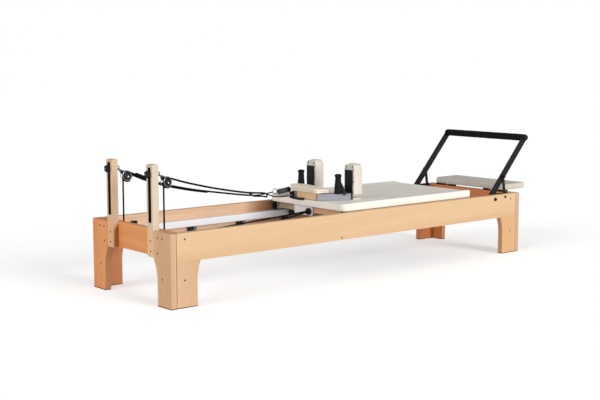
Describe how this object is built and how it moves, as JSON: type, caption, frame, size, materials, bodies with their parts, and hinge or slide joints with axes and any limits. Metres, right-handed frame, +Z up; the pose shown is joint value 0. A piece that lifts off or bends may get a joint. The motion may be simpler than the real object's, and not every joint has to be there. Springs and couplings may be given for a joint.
{
  "type": "pilates reformer",
  "caption": "Wooden pilates reformer: sprung padded carriage on tracks in a beech frame, folding footbar, standing platform, pulley posts with ropes and hand loops.",
  "frame": {"origin": "on the floor, at the middle of the whole part's length and width", "axes": "+X from the pulley posts at the head end to the footbar and platform at the foot end, +Z up, Y across"},
  "size_m": [2.531, 0.683, 0.6645],
  "materials": {
    "beech": "lacquered beech, satin",
    "plywood": "birch plywood, satin",
    "upholstery": "warm grey synthetic leather, soft sheen",
    "cushion": "beige synthetic leather, soft sheen",
    "base_grey": "pale grey plastic, matte",
    "black_metal": "black powder coat, satin",
    "aluminium": "anodised, satin",
    "steel": "brushed",
    "chrome": "polished",
    "black_plastic": "black plastic, matte",
    "rubber": "black rubber, matte",
    "grip_foam": "black foam grip, matte",
    "rope": "black braided rope",
    "webbing": "black woven webbing",
    "handle_cover": "dark grey padded fabric"
  },
  "bodies": {
    "frame": {"side_rail_near": "beech", "side_rail_far": "beech", "leg_end_boards": "beech", "leg_side_boards": "beech", "foot_pads": "rubber", "pulley_posts": "beech", "post_slot_linings": "black_plastic", "head_crossbeam": "beech", "foot_crossbeam": "beech", "frame_screws": "black_metal", "guide_tracks": "aluminium", "track_brackets": "black_metal", "track_stops": "rubber", "platform_pad": "upholstery", "platform_board": "plywood", "platform_supports": "black_plastic", "footbar_anchor_plates": "black_metal", "footbar_bolts": "black_metal", "spring_bar": "steel", "redirect_housings": "black_metal", "rope_lower_runs": "rope", "rope_risers": "rope", "rope_free_strands": "rope", "springs": "steel"},
    "carriage": {"carriage_pad": "upholstery", "carriage_board": "plywood", "carriage_frame": "beech", "spring_hook_bar": "black_metal", "wheel_brackets": "steel", "shoulder_rest_bases": "base_grey", "shoulder_rest_plates": "black_metal", "shoulder_pads": "cushion", "hand_pegs": "rubber", "headrest_block": "beech", "headrest_hinge": "black_metal", "rope_anchor": "aluminium", "rope_cleat": "black_plastic", "hand_loop_near": "webbing", "hand_loop_far": "handle_cover", "d_rings": "chrome"},
    "headrest": {"headrest_board": "plywood", "headrest_pad": "cushion"},
    "head_wheels": {"head_wheels": "black_plastic"},
    "foot_wheels": {"foot_wheels": "black_plastic"},
    "footbar": {"footbar_frame": "black_metal", "footbar_end_caps": "black_plastic", "footbar_grip": "grip_foam"},
    "footbar_struts": {"footbar_struts": "black_metal"},
    "guide_wheel_foot_far": {"guide_wheel_foot_far": "black_plastic"},
    "guide_wheel_foot_near": {"guide_wheel_foot_near": "black_plastic"},
    "guide_wheel_head_far": {"guide_wheel_head_far": "black_plastic"},
    "guide_wheel_head_near": {"guide_wheel_head_near": "black_plastic"},
    "post_knob_far": {"post_knob_far": "black_plastic"},
    "post_knob_near": {"post_knob_near": "black_plastic"},
    "pulley_carrier_far": {"pulley_carrier_far": "steel"},
    "pulley_carrier_near": {"pulley_carrier_near": "steel"},
    "redirect_sheave_far": {"redirect_sheave_far": "black_plastic"},
    "redirect_sheave_near": {"redirect_sheave_near": "black_plastic"},
    "riser_sheave_far": {"riser_sheave_far": "black_plastic"},
    "riser_sheave_near": {"riser_sheave_near": "black_plastic"}
  },
  "joints": [
    {"name": "carriage_slide", "type": "slide", "parent": "frame", "child": "carriage", "axis": [-1, 0, 0], "range_m": [0, 0.86], "stiffness_N_per_m": 300, "springref_m": -0.08, "deforming": ["springs", "rope_lower_runs", "rope_free_strands"]},
    {"name": "head_wheel_roll", "type": "hinge", "parent": "carriage", "child": "head_wheels", "pos_m": [-0.14753, 0, 0.3093], "axis": [0, 1, 0], "continuous": true},
    {"name": "foot_wheel_roll", "type": "hinge", "parent": "carriage", "child": "foot_wheels", "pos_m": [0.69747, 0, 0.3093], "axis": [0, 1, 0], "continuous": true},
    {"name": "guide_wheel_head_near_roll", "type": "hinge", "parent": "carriage", "child": "guide_wheel_head_near", "pos_m": [-0.06753, -0.2501, 0.268], "axis": [0, 0, 1], "continuous": true},
    {"name": "guide_wheel_head_far_roll", "type": "hinge", "parent": "carriage", "child": "guide_wheel_head_far", "pos_m": [-0.06753, 0.2501, 0.268], "axis": [0, 0, 1], "continuous": true},
    {"name": "guide_wheel_foot_near_roll", "type": "hinge", "parent": "carriage", "child": "guide_wheel_foot_near", "pos_m": [0.61747, -0.2501, 0.268], "axis": [0, 0, 1], "continuous": true},
    {"name": "guide_wheel_foot_far_roll", "type": "hinge", "parent": "carriage", "child": "guide_wheel_foot_far", "pos_m": [0.61747, 0.2501, 0.268], "axis": [0, 0, 1], "continuous": true},
    {"name": "redirect_sheave_near_turn", "type": "hinge", "parent": "frame", "child": "redirect_sheave_near", "pos_m": [-1.14883, -0.17019, 0.24], "axis": [-0.1588, 0.9873, 0], "continuous": true},
    {"name": "pulley_height_near", "type": "slide", "parent": "frame", "child": "pulley_carrier_near", "axis": [0, 0, 1], "range_m": [-0.18, 0.02], "deforming": ["rope_risers", "rope_free_strands"]},
    {"name": "riser_sheave_near_turn", "type": "hinge", "parent": "pulley_carrier_near", "child": "riser_sheave_near", "pos_m": [-1.14927, -0.16809, 0.543], "axis": [-0.2461, 0.9692, 0], "continuous": true},
    {"name": "post_knob_near_turn", "type": "hinge", "parent": "pulley_carrier_near", "child": "post_knob_near", "pos_m": [-1.25553, -0.174, 0.588], "axis": [1, 0, 0], "continuous": true},
    {"name": "redirect_sheave_far_turn", "type": "hinge", "parent": "frame", "child": "redirect_sheave_far", "pos_m": [-1.1489, 0.16982, 0.24], "axis": [0.1743, 0.9847, 0], "continuous": true},
    {"name": "pulley_height_far", "type": "slide", "parent": "frame", "child": "pulley_carrier_far", "axis": [0, 0, 1], "range_m": [-0.18, 0.02], "deforming": ["rope_risers", "rope_free_strands"]},
    {"name": "riser_sheave_far_turn", "type": "hinge", "parent": "pulley_carrier_far", "child": "riser_sheave_far", "pos_m": [-1.14854, 0.17477, 0.543], "axis": [-0.0322, 0.9995, 0], "continuous": true},
    {"name": "post_knob_far_turn", "type": "hinge", "parent": "pulley_carrier_far", "child": "post_knob_far", "pos_m": [-1.25553, 0.174, 0.588], "axis": [1, 0, 0], "continuous": true},
    {"name": "headrest_tilt", "type": "hinge", "parent": "carriage", "child": "headrest", "pos_m": [-0.10753, 0, 0.414], "axis": [0, 1, 0], "range_deg": [0, 35]},
    {"name": "footbar_fold", "type": "hinge", "parent": "frame", "child": "footbar", "pos_m": [0.91347, 0, 0.315], "axis": [0, 1, 0], "range_deg": [-6, 30]},
    {"name": "footbar_strut_swing", "type": "hinge", "parent": "frame", "child": "footbar_struts", "pos_m": [1.03447, 0, 0.336], "axis": [0, 1, 0], "range_deg": [-16, 75]}
  ],
  "couplings": [
    {"joint": "head_wheel_roll", "follows": "carriage_slide", "rad_per_m": -41.667},
    {"joint": "foot_wheel_roll", "follows": "carriage_slide", "rad_per_m": -41.667},
    {"joint": "guide_wheel_head_near_roll", "follows": "carriage_slide", "rad_per_m": 45.455},
    {"joint": "guide_wheel_head_far_roll", "follows": "carriage_slide", "rad_per_m": -45.455},
    {"joint": "guide_wheel_foot_near_roll", "follows": "carriage_slide", "rad_per_m": 45.455},
    {"joint": "guide_wheel_foot_far_roll", "follows": "carriage_slide", "rad_per_m": -45.455},
    {"joint": "redirect_sheave_near_turn", "follows": "carriage_slide", "rad_per_m": 41.667},
    {"joint": "riser_sheave_near_turn", "follows": "carriage_slide", "rad_per_m": 41.667},
    {"joint": "redirect_sheave_far_turn", "follows": "carriage_slide", "rad_per_m": 41.667},
    {"joint": "riser_sheave_far_turn", "follows": "carriage_slide", "rad_per_m": 41.667},
    {"joint": "footbar_strut_swing", "follows": "footbar_fold", "ratio": 2.35}
  ]
}
